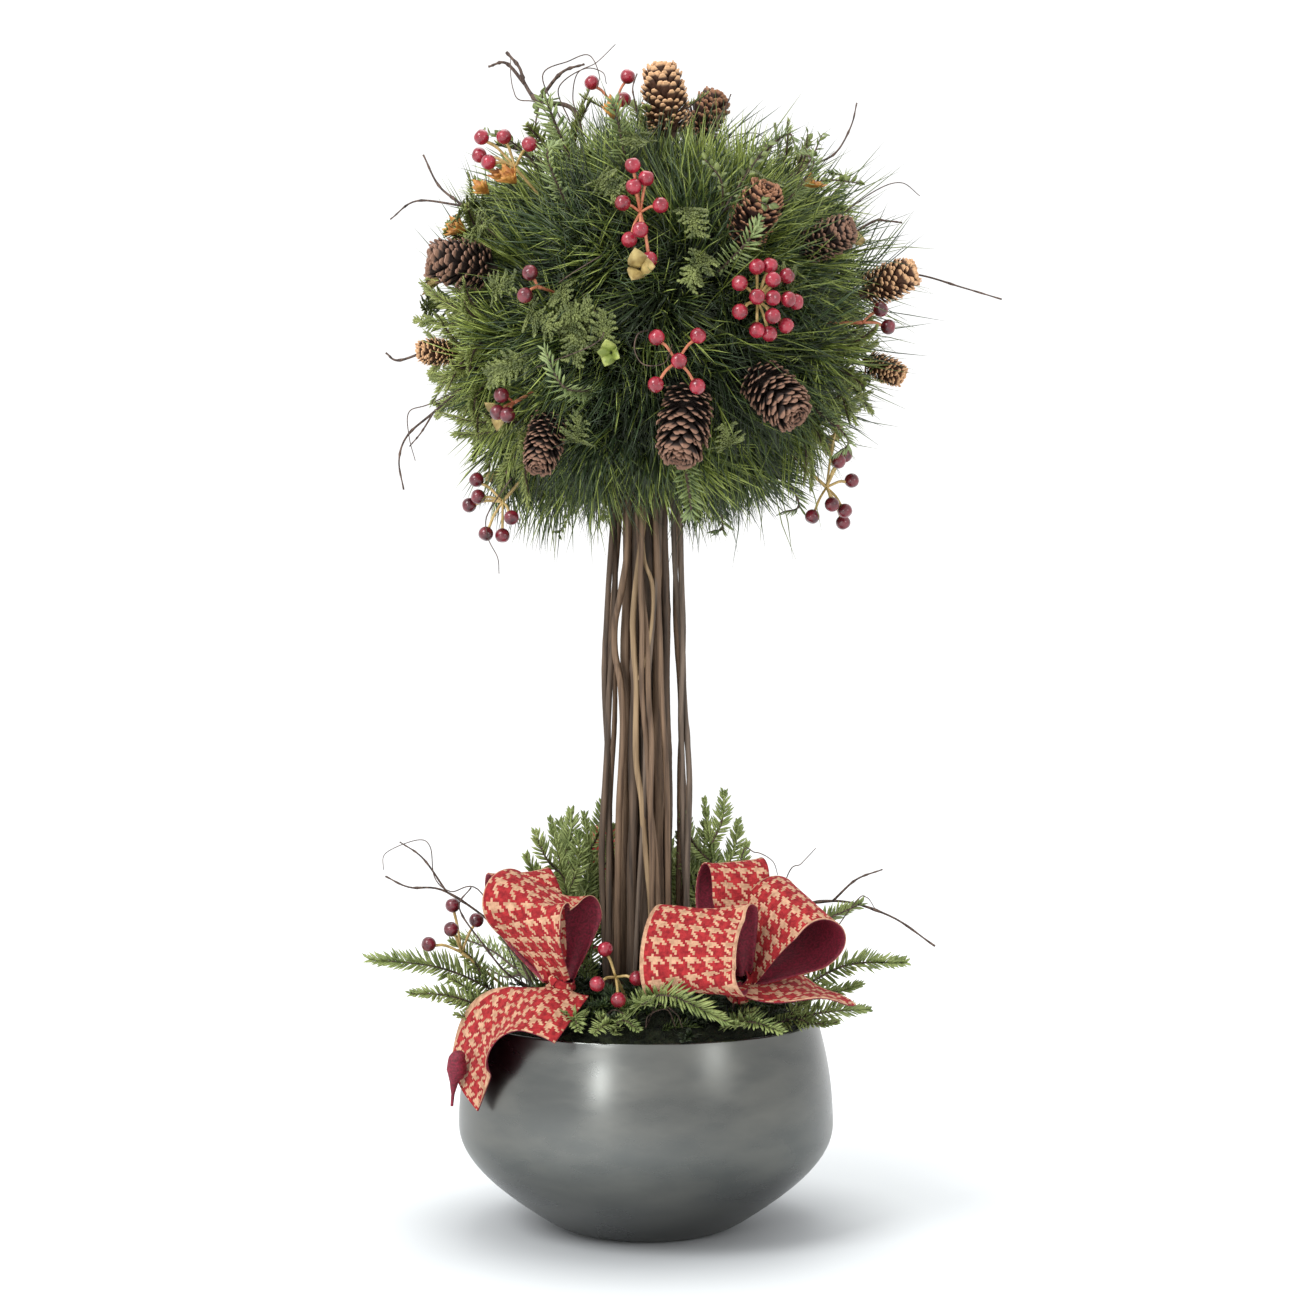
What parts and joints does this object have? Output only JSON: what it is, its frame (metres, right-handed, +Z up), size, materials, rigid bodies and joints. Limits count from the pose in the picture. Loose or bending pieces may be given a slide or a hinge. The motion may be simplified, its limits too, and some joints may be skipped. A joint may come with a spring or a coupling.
{
  "type": "artificial pine ball topiary in a metal bowl",
  "caption": "Round ball of artificial pine, cones and berries on a trunk of bundled vine stems, in a round pewter-coloured bowl trimmed with fir sprigs and ribbon bows.",
  "frame": {"origin": "centre of the bowl's flat underside, where it stands", "axes": "+Z up along the bowl's axis, the front with its two bows faces -Y, +X to the right as seen from the front"},
  "size_m": [0.4403, 0.3357, 0.8171],
  "materials": {
    "pot_metal": "satin pewter-grey metal, lightly mottled, with a soft sheen",
    "moss": "moss and dark foam, matte",
    "vine_bark": "grey-brown vine bark, dry, finely grooved along the stem",
    "pine_needles": "artificial pine needles, dark to yellow green, faint plastic sheen",
    "fir_needles": "artificial fir needles, light yellow green, paler below",
    "cone_scales": "woody cone scales, dark brown with golden tips, matte",
    "berry_skin": "glossy red berries on yellow and orange stalks",
    "twig_bark": "thin dark brown twigs, matte",
    "ribbon_cloth": "burlap-weave ribbon printed in red and cream houndstooth, burgundy velvet on its back"
  },
  "bodies": {
    "root": {"berries_back_left": "berry_skin", "berries_back_right": "berry_skin", "berries_base_front": "berry_skin", "berries_base_left": "berry_skin", "berries_crown": "berry_skin", "berries_left": "berry_skin", "berries_low_left": "berry_skin", "berries_low_right": "berry_skin", "berries_right": "berry_skin", "berries_star": "berry_skin", "berries_top_left": "berry_skin", "berries_umbel": "berry_skin", "bow_back": "ribbon_cloth", "bow_left": "ribbon_cloth", "bow_right": "ribbon_cloth", "cone_01": "cone_scales", "cone_02": "cone_scales", "cone_03": "cone_scales", "cone_04": "cone_scales", "cone_05": "cone_scales", "cone_06": "cone_scales", "cone_07": "cone_scales", "cone_08": "cone_scales", "cone_09": "cone_scales", "cone_10": "cone_scales", "cone_11": "cone_scales", "cone_12": "cone_scales", "cone_13": "cone_scales", "cone_14": "cone_scales", "fir_back": "fir_needles", "fir_back_left": "fir_needles", "fir_back_right": "fir_needles", "fir_back_upright": "fir_needles", "fir_front_arch": "fir_needles", "fir_front_left": "fir_needles", "fir_front_right": "fir_needles", "fir_left": "fir_needles", "fir_left_low": "fir_needles", "fir_left_upright": "fir_needles", "fir_right": "fir_needles", "fir_right_high": "fir_needles", "fir_right_low": "fir_needles", "fir_right_upright": "fir_needles", "loose_stem_1": "vine_bark", "loose_stem_2": "vine_bark", "loose_stem_3": "vine_bark", "loose_stem_4": "vine_bark", "loose_stem_5": "vine_bark", "pine_ball": "pine_needles", "pot": "pot_metal", "pot_filling": "moss", "stem_bundle": "vine_bark", "twig_base_left": "twig_bark", "twig_base_right": "twig_bark", "twig_bud": "twig_bark", "twig_fork": "twig_bark", "twig_gnarled": "twig_bark", "twig_reaching": "twig_bark", "twig_tendril": "twig_bark", "twig_upright": "twig_bark"}
  },
  "joints": []
}
